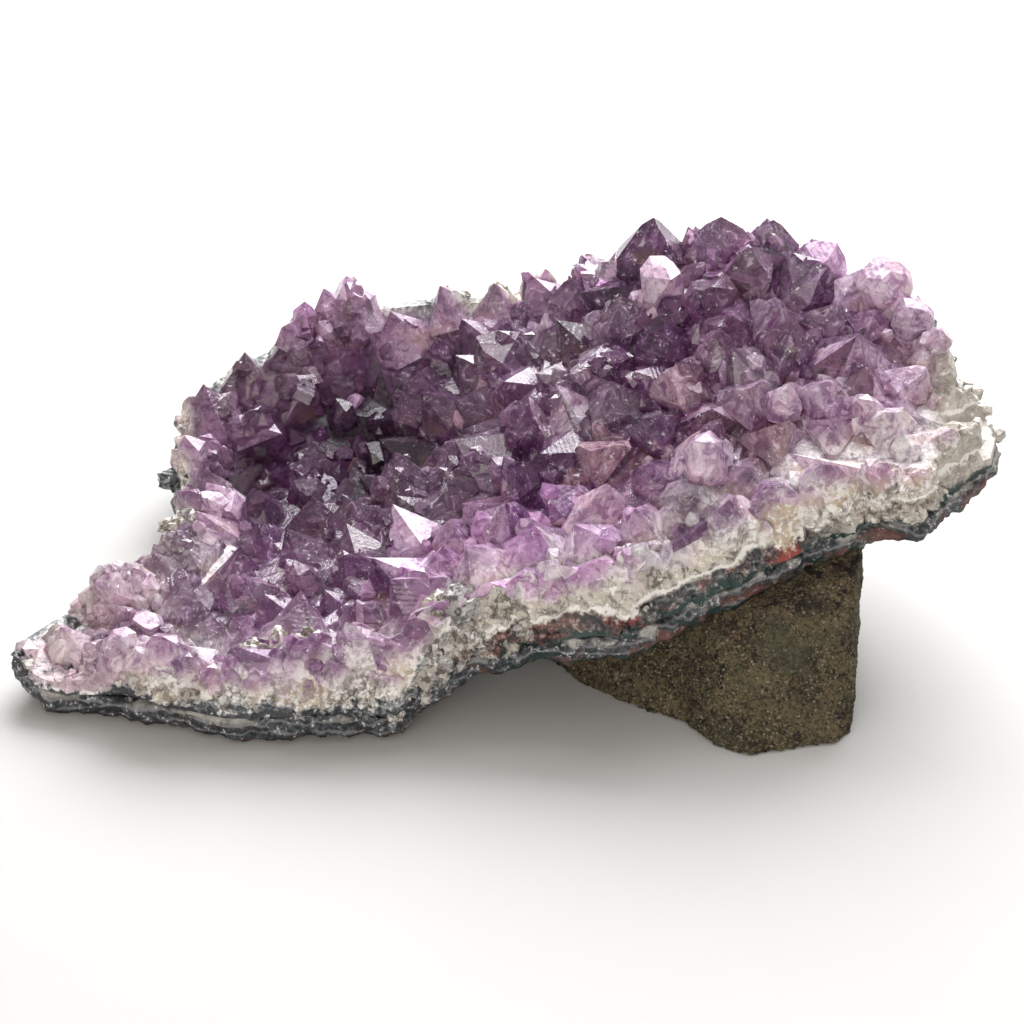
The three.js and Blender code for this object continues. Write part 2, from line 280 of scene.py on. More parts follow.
def lump(place, radius, colour, rough=True):
    """A rough knob of rock, or a rounded crystal where it isn't rough."""
    bm = bmesh.new()
    bmesh.ops.create_icosphere(bm, subdivisions=3 if rough and radius > 1.7 * MM else 2, radius=1)
    stretch = random.uniform(0.75, 1.25, 3) * radius if rough else np.array((0.95, 0.95, 1.1)) * radius
    shift = Vector(random.uniform(0, 50, 3))
    bumps, pitch = (0.5, 3.6) if rough else (0.12, 3.1)
    corners = []
    for v in bm.verts:
        swell = 0.4 * noise.noise(v.co * 1.2 + shift) + bumps * noise.noise(v.co * pitch + shift)
        corners.append(np.array(v.co) * stretch * (1 + swell))
    faces = [[v.index for v in f.verts] for f in bm.faces]
    bm.free()
    top = np.array(place) + np.array((0, 0, radius))
    up = np.array((0.0, 0.0, 1.0))
    grown.append(Crystal(top, up, np.array(corners) + np.array(place), faces, colour, rough))


# Where crystals, shards and grains grow

PALETTE = {
    "deep": (0.32, 0.17, 0.34),
    "violet": (0.52, 0.32, 0.51),
    "lilac": (0.73, 0.53, 0.72),
    "pale": (0.92, 0.75, 0.90),
    "smoky": (0.38, 0.27, 0.38),
    "rust": (0.50, 0.32, 0.38),
    "pink": (0.80, 0.56, 0.68),
    "white": (0.95, 0.90, 0.94),
}
SHARES = (0.24, 0.35, 0.2, 0.03, 0.1, 0.02, 0.05, 0.01)  # of crystals that have each of those colours
MARKS = (  # crystals that stand out by their colour: place and reach in millimetres, colour, milkiness
    (26.3, 15.4, 51, 5, "pale", 0.8), (64.4, 11.4, 52, 6, "pale", 0.8),
    (68.8, 4.4, 49.3, 5, "pale", 0.7), (26.6, 23.5, 54.7, 6, "deep", 0.2),
    (35.5, 13.9, 54.5, 6, "violet", 0.3), (15.5, -6.3, 39.4, 6, "smoky", 0.4),
    (27.9, -9, 39.1, 5, "violet", 0.2), (33.7, -5.4, 45.2, 5, "lilac", 0.5),
    (12.1, -14.5, 33.7, 5.5, "rust", 0.5), (24.1, -18.2, 37.7, 4, "pink", 0.4),
    (32.1, -23.6, 38.1, 6, "pale", 0.7), (-4.2, -14.9, 25.1, 5, "lilac", 0.3),
    (-6.2, -17.9, 21.1, 5, "lilac", 0.4), (-7.3, 22.6, 25.3, 6, "pink", 0.6),
    (1.5, -3.1, 31.8, 5, "violet", 0.2), (-53.3, 6.3, 10.4, 6, "pale", 0.6),
    (-39.4, 18.9, 9, 5, "smoky", 0.3), (-57, -11.2, 10.7, 7, "deep", 0.1),
    (49.8, -12.5, 45.5, 5, "pale", 0.6), (57.7, -14.2, 42.9, 6, "lilac", 0.7),
    (65.1, -8.3, 45.3, 6, "lilac", 0.6), (62.9, -21.7, 42.2, 7, "white", 0.8),
    (37, -13.5, 40.1, 5, "rust", 0.4), (43.1, -23.6, 39.6, 6, "rust", 0.5),
    (-27.5, 33.5, 17.2, 4, "pale", 0.6), (-24.9, 38.4, 19.8, 4, "rust", 0.5),
    (-36, 23, 12, 10, "deep", 0.1),
)
ROUNDED = (  # large rounded crystals: place and radius in millimetres, colour
    (64.4, 11.4, 52.1, 5.0, "pale"),
    (68.4, 4.4, 48.6, 3.6, "lilac"),
    (26.3, 14.4, 51, 4.4, "pale"),
    (32.1, -23.6, 37.5, 4.4, "pale"),
    (-53.3, 6.3, 9.5, 4.2, "pale"),
    (58.5, -15.5, 42, 3.4, "pale"),
)
CREAM = (0.82, 0.79, 0.75)
TAN = (0.62, 0.58, 0.51)
GREY = (0.43, 0.42, 0.41)
BLACK = (0.10, 0.11, 0.13)
GRAINS = (CREAM, TAN, GREY, BLACK)
KNOBS = (  # knobs of rock that the picture shows: place and radius in millimetres, colour
    (-7.4, -38.4, 19.8, 3.4, GREY), (-11, -38.3, 19.5, 2.8, TAN), (-3.8, -38.6, 19.2, 2.6, TAN),
    (-1.5, -39.4, 20.5, 2.2, TAN), (23.0, -37.2, 25.4, 2.8, TAN), (25.8, -38.6, 22.8, 1.8, TAN),
    (21, -39.2, 22.5, 2.0, GREY), (31, -37.8, 22.5, 1.4, TAN), (-60.1, 18.3, 9.5, 3.0, BLACK),
    (-57.2, 22, 13.0, 2.2, CREAM), (-57.0, 34, 14, 2.4, BLACK), (-36, -39.6, 13.2, 2.4, TAN),
    (-40, -39.6, 12.2, 2.2, TAN), (-32, -40, 14, 2.4, TAN), (-27, -40.6, 12, 2.2, TAN),
)
LOW_SEAM = -15 * MM  # left of this the rubble along the seam is higher and darker
SMOOTH_SEAM = 3 * MM  # right of this the front seam has little rubble
BACK_SEAM = 10 * MM  # and behind this too
LOW_TIP = -58 * MM  # left of this is the plate's low tip


def is_wall(face):
    return inward(face.calc_center_median()) < 7 and face.normal.z < 0.75


def in_pocket(face):
    """Whether a face is on the floor of the pocket at the left."""
    centre = face.calc_center_median()
    return face.normal.z > 0.2 and math.hypot(centre.x + 38 * MM, centre.y - 26 * MM) < 16 * MM


def on_low_tip(face):
    return face.normal.z > 0.3 and face.calc_center_median().x < LOW_TIP


flanks = [f for f in crust.faces if owners[f.index] is not None]
bare = [f for f in crust.faces if owners[f.index] is None and f.normal.z > -0.35]
wall = [f for f in bare if is_wall(f)]
ground = [f for f in bare if not is_wall(f)]
marked = set()  # the tips that stand out by their colour
for x, y, z, reach, *_ in MARKS:
    marked |= {i for _, i, _ in tip_tree.find_range(Vector((x, y, z)) * MM, reach * MM)}


def leaning(axis, amount):
    """An axis that leans a little from another one, at random."""
    return (Vector(axis) + Vector(random.normal(0, amount, 3))).normalized()


def up_at(p):
    """Which way crystals grow near a point: the mean of the nearest tips' axes."""
    return sum((tips[i][1] / (d + 2 * MM) for _, i, d in tip_tree.find_n(p, 5)), Vector()).normalized()


def spread(faces, count):
    """Faces and places on them, spread by area."""
    areas = np.array([f.calc_area() for f in faces])
    for i in random.choice(len(faces), count, p=areas / areas.sum()):
        corners = faces[i].verts
        weights = random.dirichlet(np.ones(len(corners)))
        yield faces[i], sum((v.co * w for v, w in zip(corners, weights)), Vector())


def stand(p, axis, radii, heights, slenderness, root):
    """A crystal that stands up from a place, as long as its radius times the slenderness plus its root."""
    radius = random.uniform(*radii) * MM
    grow(p + axis * random.uniform(*heights) * MM, axis, radius, radius * slenderness + root * MM)


def grow_on_flanks(count):
    """Small crystals on the flanks of large ones, nearly parallel to them, few on the marked ones."""
    for face, p in spread(flanks, count):
        host = owners[face.index]
        if host in marked and random.uniform() < 0.8:
            continue
        axis = leaning(tips[host][1], 0.12)
        radius = random.uniform(0.8, 2.4) * MM
        proud = random.uniform(0.4, 1.3) * MM
        tip = p + face.normal * (proud - radius * 0.55) + axis * radius * random.uniform(0.6, 1.4)
        grow(tip, axis, radius, radius * 2.5 + 1.5 * MM)


def grow_in_pocket(count):
    for face, p in spread([f for f in crust.faces if in_pocket(f)], count):
        axis = leaning(face.normal + Vector((0, 0, 0.6)), 0.3)
        stand(p, axis, (1.3, 2.9), (1.0, 3.6), 1, 3.5)


def grow_between(valley_count, ground_count):
    """Crystals that fill the valleys and the ground between the large ones."""
    for i in random.choice(len(valleys), valley_count):
        start, end = valleys[i].verts
        p = start.co.lerp(end.co, random.uniform())
        if over_foot(p) >= 3:
            stand(p, leaning(up_at(p), 0.25), (0.9, 2.4), (0.8, 3.0), 1.5, 3)
    for _, p in spread(ground, ground_count):
        stand(p, leaning(up_at(p), 0.25), (1.2, 2.8), (1.0, 3.5), 1.5, 3)


def grow_on_wall(count, radii, least_height, proud, scatter):
    """Crystals that lean out of the broken wall, shards and grains."""
    for face, p in spread(wall, count):
        if over_foot(p) < least_height:
            continue
        axis = leaning(up_at(p) + face.normal * random.uniform(0.1, 0.7), scatter)
        radius = random.uniform(*radii) * MM
        out = face.normal * (random.uniform(*proud) * MM - radius * 0.6)
        grow(p + out + axis * radius * random.uniform(0.6, 2.0), axis, radius, radius * 3 + 0.8 * MM)


def outward(p):
    """Which way is out of the plate at a point of the rim."""
    return (p - MIDDLE).xy.normalized().to_3d()


def raised(p, low, high):
    """How far over the rim a grain sits: a height between two in millimetres, and more on the low seam."""
    return Vector((0, 0, random.uniform(low, high) + (1.5 if p.x < LOW_SEAM else 0))) * MM


def grow_rubble(everywhere, in_front):
    """Angular grains along the seam between the quartz and the rind, most of them in front of the middle."""
    for k in [*random.choice(len(rim_points), everywhere), *random.choice(front_rim, in_front)]:
        p = rim_points[k]
        p = p + raised(p, 1.5, 5.0)
        if (p.x > SMOOTH_SEAM or p.y > BACK_SEAM) and random.uniform() < 0.85:
            continue
        out = outward(p)
        axis = leaning(out + Vector((0, 0, 1.0)), 0.4)
        radius = random.uniform(0.5, 1.3) * MM
        colour = GRAINS[random.choice(3, p=[0.5, 0.3, 0.2])]
        tip = p - out * random.uniform(0.2, 1.2) * MM + axis * 0.5 * radius
        grow(tip, axis, radius, radius * 2.2, colour, rough=True)


def grow_knobs(everywhere, in_front):
    """Rough knobs along the seam, at random and where the picture shows them."""
    for k in [*random.choice(len(rim_points), everywhere), *random.choice(front_rim, in_front)]:
        p = rim_points[k]
        if p.x < -60 * MM or p.x > SMOOTH_SEAM and p.y < 0 or p.y > BACK_SEAM:
            continue
        radius = random.uniform(0.6, 2.0) * MM
        dark = 0.2 if p.x < LOW_SEAM and p.y < 0 else 0.15
        shares = np.array((0.35, 0.3, 0.2)) * (1 - dark) / 0.85
        colour = GRAINS[random.choice(4, p=[*shares, dark])]
        sunk = outward(p) * random.uniform(0.5, 1.6) * radius
        lump(p - sunk + raised(p, 1.0, 4.5), radius, colour)
    for x, y, z, radius, colour in KNOBS:
        lump(np.array((x, y, z)) * MM, radius * MM, colour)


def grow_rounded():
    """Large rounded crystals, each with a pointed one inside."""
    for x, y, z, radius, name in ROUNDED:
        place = Vector((x, y, z)) * MM
        lump(place, radius * MM, PALETTE[name], rough=False)
        grow(place, leaning((0.05, -0.1, 1), 0.1), radius * 0.8 * MM, 11 * MM, PALETTE[name])


def grow_on_low_tip(count):
    for _, p in spread([f for f in crust.faces if on_low_tip(f)], count):
        stand(p, leaning(Vector((-0.2, -0.4, 0.9)), 0.2), (1.2, 2.6), (0.8, 2.4), 1, 3)


front_rim = [k for k, p in enumerate(rim_points) if LOW_SEAM < p.x < SMOOTH_SEAM and p.y < 0]
grow_on_flanks(320)
grow_in_pocket(130)
grow_between(430, 260)
grow_on_wall(300, (1.5, 3.2), 4.0, (-0.2, 2.2), 0.2)
grow_on_wall(900, (0.8, 1.7), 1.4, (0.1, 1.8), 0.35)
grow_on_wall(1900, (0.4, 1.0), 0.3, (0.1, 1.0), 0.9)
grow_rubble(150, 130)
grow_knobs(150, 60)
grow_rounded()
grow_on_low_tip(170)

# All the crystals joined to the crust


def keep_largest_part(mesh):
    """Takes out the bits of a mesh that are loose from the rest."""
    bm = bmesh.new()
    bm.from_mesh(mesh)
    left, parts = set(bm.verts), []
    while left:
        part, edge_of_part = set(), [left.pop()]
        while edge_of_part:
            v = edge_of_part.pop()
            part.add(v)
            new = {e.other_vert(v) for e in v.link_edges} & left
            left -= new
            edge_of_part += new
        parts.append(part)
    parts.sort(key=len)
    bmesh.ops.delete(bm, geom=[v for part in parts[:-1] for v in part], context="VERTS")
    bm.to_mesh(mesh)
    bm.free()


def numbered_object(name, points, faces, numbers):
    """An object whose faces carry the number of the crystal that they belong to."""
    mesh = bpy.data.meshes.new(name)
    mesh.from_pydata([tuple(p) for p in points], [], faces)
    mesh.attributes.new("crystal", "INT", "FACE").data.foreach_set("value", np.array(numbers, np.int32))
    return object_of(name, mesh)


def batches_of(solids):
    """The numbers of some solids, in batches in which none touches another."""
    centres = np.array([c.corners.mean(0) for c in solids])
    reach = np.array([np.linalg.norm(c.corners - m, axis=1).max() for c, m in zip(solids, centres)])
    batches = []
    for i in range(len(solids)):
        for batch in batches:
            near = np.linalg.norm(centres[batch] - centres[i], axis=1) < reach[batch] + reach[i]
            if not near.any():
                batch.append(i)
                break
        else:
            batches.append([i])
    return batches


def batch_object(name, batch):
    points, faces, numbers = [], [], []
    for i in batch:
        faces += [[len(points) + k for k in f] for f in grown[i].faces]
        numbers += [len(tips) + i] * len(grown[i].faces)
        points += list(grown[i].corners)
    return numbered_object(name, points, faces, numbers)


def joined_crust():
    """The crust and all that has grown on it, as one closed mesh."""
    points = [v.co[:] for v in crust.verts]
    faces = [[v.index for v in f.verts] for f in crust.faces]
    numbers = [-1 if owners[f.index] is None else owners[f.index] for f in crust.faces]
    whole = numbered_object("whole", points, faces, numbers)
    others = [batch_object(f"batch_{n}", batch) for n, batch in enumerate(batches_of(grown))]
    for other in others:
        join = whole.modifiers.new(other.name, "BOOLEAN")
        join.operation = "UNION"
        join.solver = "MANIFOLD"
        join.object = other
    mesh = applied(whole, "amethyst_crystals")
    mesh.validate(clean_customdata=False)
    keep_largest_part(mesh)
    for o in [whole, *others]:
        bpy.data.objects.remove(o)
    return mesh


mesh = joined_crust()
crystals = object_of("amethyst_crystals", mesh)

# What the shader needs to know of each crystal

tip_places = np.array([np.array(place) for place, _ in tips] + [c.tip for c in grown])
tip_axes = np.array([np.array(axis) for _, axis in tips] + [c.axis for c in grown])


def within(x, y, z, reach):
    """Which tips are within reach of a place, in millimetres."""
    return np.linalg.norm(tip_places - np.array((x, y, z)) * MM, axis=1) < reach * MM


def from_centre(centre, half_axes):
    """How far each tip is from the centre of an ellipsoid, as parts of its size. Both in millimetres."""
    return np.linalg.norm((tip_places - np.array(centre) * MM) / (np.array(half_axes) * MM), axis=1)


def own_values():
    """Colour, painted light, milkiness and share of own colour of each crystal, first those of the crust.

    The painted light is 1 in the open and less in the pocket: painted shade. The share of own colour goes
    from 0 on common quartz over 0.5 on the marked crystals and 0.7 on the rounded ones to 1 on grains of
    rock.
    """
    names = list(PALETTE)
    drawn = random.choice(len(names), len(tip_places), p=SHARES)
    tints = np.array([PALETTE[names[k]] for k in drawn]) * random.uniform(0.8, 1.2, (len(drawn), 1))
    milk = random.uniform(0.0, 0.5, len(drawn))
    for number, c in enumerate(grown, len(tips)):
        host = tip_tree.find(Vector(c.tip))[1]
        tints[number] = 0.6 * tints[host] + 0.4 * tints[number]
    own = np.zeros(len(drawn))
    for x, y, z, reach, name, haze in MARKS:
        near = within(x, y, z, reach)
        tints[near] = np.array(PALETTE[name]) * random.uniform(0.93, 1.07, (near.sum(), 1))
        milk[near] = haze
        own[near] = 0.5
    from_rim = np.array([inward(Vector(t)) for t in tip_places])
    from_pocket = from_centre((-37, 24, 15), (24, 22, 30))
    from_row = from_centre((3, -28, 24), (26, 13, 30))  # the pale row along the front
    # painted shade: the pocket's crystals are darker as if in shadow; near the rim and in the front row they
    # are paler
    painted_light = np.interp(from_pocket, [0.5, 1.4], [0.32, 1.0])
    shade = np.interp(from_rim, [6, 13, 24], [1.5, 1.22, 0.9])
    shade *= painted_light * np.interp(from_row, [0.6, 1.3], [1.85, 1.0])
    milk += np.interp(from_row, [0.6, 1.3], [0.4, 0]) + np.interp(from_rim, [5, 14], [0.2, 0])
    low = tip_places[:, 0] < LOW_TIP
    tints[low] = 0.5 * tints[low] + 0.5 * np.array(PALETTE["pale"])
    tints = np.clip(tints * np.where(own > 0, 1, shade)[:, None], 0.02, 0.95)
    # more painted shade in the pocket: deeper purple there
    tints *= np.stack([0.95 + 0.05 * painted_light, 0.62 + 0.38 * painted_light, 0.92 + 0.08 * painted_light], 1)
    for number, c in enumerate(grown, len(tips)):
        if c.colour is not None:
            tints[number] = np.array(c.colour) * random.uniform(0.85, 1.05)
            own[number] = 1.0 if c.rough else 0.7
            painted_light[number] = 1.0
    return tints, painted_light, milk, own


def face_numbers(mesh):
    """The crystal that each face belongs to, or the nearest on the wall and the ground."""
    numbers = np.zeros(len(mesh.polygons), np.int32)
    mesh.attributes["crystal"].data.foreach_get("value", numbers)
    for k in np.flatnonzero(numbers < 0):
        numbers[k] = tip_tree.find(mesh.polygons[k].center)[1]
    return numbers


tints, painted_light, milk, own = own_values()
of_face = face_numbers(mesh)
store(mesh, "tip", "FLOAT_VECTOR", "FACE", tip_places[of_face])
store(mesh, "axis", "FLOAT_VECTOR", "FACE", tip_axes[of_face])
# the tint's alpha carries the painted light, low in the pocket
store(mesh, "tint", "FLOAT_COLOR", "FACE", np.hstack([tints[of_face], painted_light[of_face][:, None]]))
store(mesh, "milk", "FLOAT", "FACE", milk[of_face])
store(mesh, "own", "FLOAT", "FACE", own[of_face])
store(mesh, "rise", "FLOAT", "POINT", [over_foot(v.co) for v in mesh.vertices])
store(mesh, "inward", "FLOAT", "POINT", [inward(v.co) for v in mesh.vertices])

# Short calls for shader nodes


class Nodes:
    """Nodes of a material or of the world."""

    MIX_FIRST, MIX_SECOND, MIX_RESULT = 6, 7, 2  # the mix node's sockets for colours

    def __init__(self, tree):
        self.tree = tree

    def put(self, socket, value):
        if isinstance(value, bpy.types.NodeSocket):
            self.tree.links.new(value, socket)
        elif value is not None:
            socket.default_value = value

    def node(self, kind, inputs=(), **settings):
        n = self.tree.nodes.new(kind)
        for k, v in settings.items():
            setattr(n, k, v)
        for key, value in dict(inputs).items():
            self.put(n.inputs[key], value)
        return n

    def math(self, operation, a, b=None, c=None):
        n = self.node("ShaderNodeMath", operation=operation)
        for socket, value in zip(n.inputs, (a, b, c)):
            self.put(socket, value)
        return n.outputs[0]

    def times(self, first, *others):
        for other in others:
            first = self.math("MULTIPLY", first, other)
        return first

    def plus(self, a, b):
        return self.math("ADD", a, b)

    def line(self, value, slope, start):
        """The value times a slope, plus a start."""
        return self.math("MULTIPLY_ADD", value, slope, start)

    def most(self, a, b):
        return self.math("MAXIMUM", a, b)

    def vector(self, operation, a, b):
        n = self.node("ShaderNodeVectorMath", {0: a, 1: b}, operation=operation)
        return n.outputs["Value" if operation == "DOT_PRODUCT" else 0]

    def mix(self, amount, first, second, blend="MIX"):
        """The first colour where the amount is 0, the second where it is 1."""
        n = self.node("ShaderNodeMix", {"Factor": amount}, data_type="RGBA", blend_type=blend)
        for key, v in ((self.MIX_FIRST, first), (self.MIX_SECOND, second)):
            self.put(n.inputs[key], (*v, 1) if isinstance(v, tuple) else v)
        return n.outputs[self.MIX_RESULT]

    def filtered(self, colour, by):
        """A colour times another."""
        return self.mix(1.0, colour, by, "MULTIPLY")


class Shader(Nodes):
    """One material. Sizes of patterns are in millimetres."""

    def __init__(self, name):
        self.material = bpy.data.materials.new(name)
        self.material.use_nodes = True
        super().__init__(self.material.node_tree)
        self.tree.nodes.clear()
        self.out = self.node("ShaderNodeOutputMaterial")
        self.coord = self.node("ShaderNodeTexCoord").outputs["Object"]

    def place(self):
        """x, y and z in metres."""
        return self.node("ShaderNodeSeparateXYZ", {0: self.coord}).outputs[:]

    def attribute(self, name, out="Fac"):
        return self.node("ShaderNodeAttribute", attribute_name=name).outputs[out]

    def between(self, value, low, high, to_low=0.0, to_high=1.0):
        """Goes smoothly from one value to another while its input goes from low to high."""
        inputs = {"Value": value, "From Min": low, "From Max": high, "To Min": to_low, "To Max": to_high}
        return self.node("ShaderNodeMapRange", inputs, interpolation_type="SMOOTHSTEP").outputs[0]

    def noise(self, size, detail, rough=0.55, distortion=0.0):
        """Noise with features of a size, about 0 to 1."""
        inputs = {"Scale": 1 / (size * MM), "Detail": detail, "Roughness": rough, "Distortion": distortion}
        return self.node("ShaderNodeTexNoise", {"Vector": self.coord, **inputs}).outputs["Fac"]

    def cells(self, size, at=None):
        """A random value for each cell of a size."""
        n = self.node("ShaderNodeTexVoronoi", {"Vector": at or self.coord, "Scale": 1 / (size * MM)})
        return self.node("ShaderNodeSeparateColor", {"Color": n.outputs["Color"]}).outputs[0]

    def bump(self, height, distance, strength):
        inputs = {"Height": height, "Distance": distance * MM, "Strength": strength}
        return self.node("ShaderNodeBump", inputs).outputs[0]

    def surface(self, **inputs):
        inputs = {key.replace("_", " "): value for key, value in inputs.items()}
        n = self.node("ShaderNodeBsdfPrincipled", inputs)
        self.tree.links.new(n.outputs[0], self.out.inputs["Surface"])

    def absorb(self, colour, density):
        n = self.node("ShaderNodeVolumeAbsorption", {"Color": (*colour, 1), "Density": density})
        self.tree.links.new(n.outputs[0], self.out.inputs["Volume"])


# The quartz

QUARTZ_IOR = 1.55
QUARTZ_LETS_THROUGH = (0.74, 0.50, 0.72)  # the colour of light that has gone through
QUARTZ_DENSITY = 95
LENGTH = 164 * MM  # of the plate along x


class Quartz(Shader):
    """The quartz's material, with the values that more than one of its layers goes by."""

    def __init__(self):
        super().__init__("amethyst")
        self.x, self.y, _ = self.place()
        self.rise = self.attribute("rise")
        self.inward = self.attribute("inward")
        self.own = self.attribute("own")
        # the painted light: low where the pocket's painted shade is
        self.painted_light = self.attribute("tint", "Alpha")
        to_tip = self.vector("SUBTRACT", self.attribute("tip", "Vector"), self.coord)
        along_axis = self.vector("DOT_PRODUCT", to_tip, self.attribute("axis", "Vector"))
        self.depth = self.times(along_axis, 1 / MM)  # under the crystal's tip, in millimetres
        self.broad = self.noise(6, 2)
        self.fine = self.noise(1.1, 3, 0.68)
        self.veils = self.noise(2.6, 5, 0.68, distortion=1.2)
        # the milky veils fade in the pocket's painted shade
        self.veil = self.times(self.between(self.veils, 0.54, 0.72), self.painted_light)
        self.left = self.between(self.x, -56 * MM, -66 * MM)
        self.in_front = self.between(self.y, 8 * MM, -12 * MM, 0.2, 1.0)

    def along(self, *stops):
        """A value that changes along the plate, by places from its left end (0) to its right (1)."""
        n = self.node("ShaderNodeValToRGB", {"Fac": self.line(self.x, 1 / LENGTH, 0.5)})
        n.color_ramp.interpolation = "EASE"
        elements = n.color_ramp.elements
        for k, (at, value) in enumerate(stops):
            stop = elements[k] if k < 2 else elements.new(at)
            stop.position = at
            stop.color = (value, value, value, 1)
        return n.outputs[0]


def grain_colour(s):
    """Grains and knobs of rock, by their own colours with darker patches."""
    shadow = (0.34, 0.32, 0.30)
    colour = s.attribute("tint", "Color")
    patches = s.line(s.veils, 0.5, s.times(s.fine, 0.5))
    return s.mix(s.between(patches, 0.43, 0.52), s.filtered(colour, shadow), colour)


def crystal_colour(s):
    """The crystals' tints: deeper between the veils, painted shade where they meet, brown with iron in
    places.
    """
    milky, iron = (0.87, 0.81, 0.94), (0.42, 0.26, 0.15)
    deeper, darker, warmer = (0.42, 0.27, 0.46), (0.40, 0.25, 0.42), (1.25, 0.98, 1.05)  # filters
    colour = s.attribute("tint", "Color")
    unveiled = s.between(s.veils, 0.36, 0.58, 0.9, 0.0)
    colour = s.mix(unveiled, colour, s.filtered(colour, deeper))
    # painted shade: darker where the surface is concave, between crystals
    edges = s.node("ShaderNodeNewGeometry").outputs["Pointiness"]
    painted_hollow_shade = s.between(edges, 0.42, 0.54, 0.75, 0.0)
    colour = s.mix(painted_hollow_shade, colour, s.filtered(colour, darker))
    warm = s.between(s.broad, 0.42, 0.6, 0, 0.35)
    colour = s.mix(warm, colour, s.filtered(colour, warmer))
    colour = s.mix(s.between(s.own, 0.75, 1), colour, grain_colour(s))
    colour = s.mix(s.times(s.veil, 0.6), colour, milky)
    stained = s.times(s.between(s.broad, 0.54, 0.66), s.between(s.depth, 2.5, 5.5))
    return s.mix(s.times(stained, 0.4), colour, iron)


def foot_colour(s, foot):
    """White and cream grains low down with painted shade between them, and stains. At the low left tip they
    are pinkish.
    """
    # upper and lower: grey of the painted shade between grains, higher up and lower down
    upper, lower, white = (0.46, 0.40, 0.42), (0.24, 0.20, 0.19), (1.0, 0.98, 0.93)
    ochre, earth, pinkish = (0.62, 0.50, 0.34), (0.40, 0.36, 0.31), (0.88, 0.70, 0.56)
    tall_cells = s.cells(1.5, s.vector("MULTIPLY", s.coord, (1, 1, 0.6)))
    grain = s.line(tall_cells, 0.25, s.plus(s.fine, -0.12))
    colour = s.mix(s.between(grain, 0.33, 0.58), s.mix(foot, upper, lower), white)
    stain = s.times(s.between(s.broad, 0.48, 0.62), s.between(s.x, -30 * MM, 45 * MM, 0.6, 0.9))
    colour = s.mix(s.times(stain, s.between(s.fine, 0.62, 0.45)), colour, ochre)
    colour = s.mix(s.between(s.veils, 0.50, 0.36, 0.0, 0.75), colour, earth)
    return s.mix(s.left, colour, pinkish)


def jasper_colour(s):
    """Brown and black jasper with red patches, dusky grey in places further right."""
    black, brown, red = (0.035, 0.032, 0.036), (0.20, 0.085, 0.075), (0.30, 0.045, 0.035)
    dusk_dark, dusk_light = (0.028, 0.032, 0.038), (0.17, 0.165, 0.16)
    reddish = s.between(s.plus(s.broad, s.times(s.fine, 0.3)), 0.72, 0.80)
    colour = s.mix(reddish, s.mix(s.between(s.fine, 0.4, 0.6), black, brown), red)
    dusky = s.times(s.between(s.x, 8 * MM, 18 * MM), s.between(s.broad, 0.56, 0.48))
    return s.mix(dusky, colour, s.mix(s.between(s.fine, 0.42, 0.6), dusk_dark, dusk_light))


def seam_colour(s):
    """The band at the seam: dark at the left, cream with a core of jasper further right, with fine lines."""
    slate, ash = (0.03, 0.036, 0.045), (0.24, 0.25, 0.27)
    umber, cream = (0.15, 0.135, 0.12), (0.58, 0.53, 0.46)
    slab_dark, slab_light = (0.26, 0.23, 0.20), (0.56, 0.52, 0.48)
    soot, teal = (0.03, 0.034, 0.04), (0.016, 0.042, 0.038)
    pale, white, fleck = (0.74, 0.72, 0.70), (0.93, 0.92, 0.90), (0.88, 0.86, 0.82)
    level = s.line(s.broad, 5, s.line(s.fine, 2, s.plus(s.rise, -3.5)))
    right = s.between(s.x, -16 * MM, 0)
    dark = s.mix(s.between(s.fine, 0.40, 0.56), slate, ash)
    light = s.mix(s.between(s.veils, 0.38, 0.56), umber, cream)
    colour = s.mix(right, dark, light)
    colour = s.mix(s.between(s.x, 66 * MM, 74 * MM, 0, 0.7), colour, s.mix(s.fine, slab_dark, slab_light))
    bands = s.between(s.math("SINE", s.times(level, 4)), 0.6, 0.95)
    colour = s.mix(s.times(bands, 0.3), colour, pale)
    vein = s.times(s.between(s.math("ABSOLUTE", s.plus(level, -4.3)), 0.55, 0.2), right)
    colour = s.mix(s.times(vein, 0.8), colour, white)
    middle = s.times(right, s.between(s.x, 60 * MM, 46 * MM), s.between(s.in_front, 0.5, 0.9))
    core = s.times(middle, s.between(level, 4.0, 3.2))
    colour = s.mix(core, colour, jasper_colour(s))
    colour = s.mix(s.between(level, 1.3, 0.6), colour, s.mix(right, soot, teal))
    flecks = s.times(s.between(s.fine, 0.58, 0.66, 0, 0.75), s.between(core, 0, 1, 1, 0.4))
    return s.mix(flecks, colour, fleck)


def speckles(s):
    """Small white cracks and specks, painted bright as glints, dimmed in the pocket's painted shade."""
    crack = s.between(s.math("ABSOLUTE", s.math("SUBTRACT", s.veils, 0.47)), 0.012, 0.0)
    crack = s.times(crack, s.between(s.fine, 0.5, 0.6))
    return s.times(s.most(crack, s.between(s.fine, 0.655, 0.7)), s.painted_light)


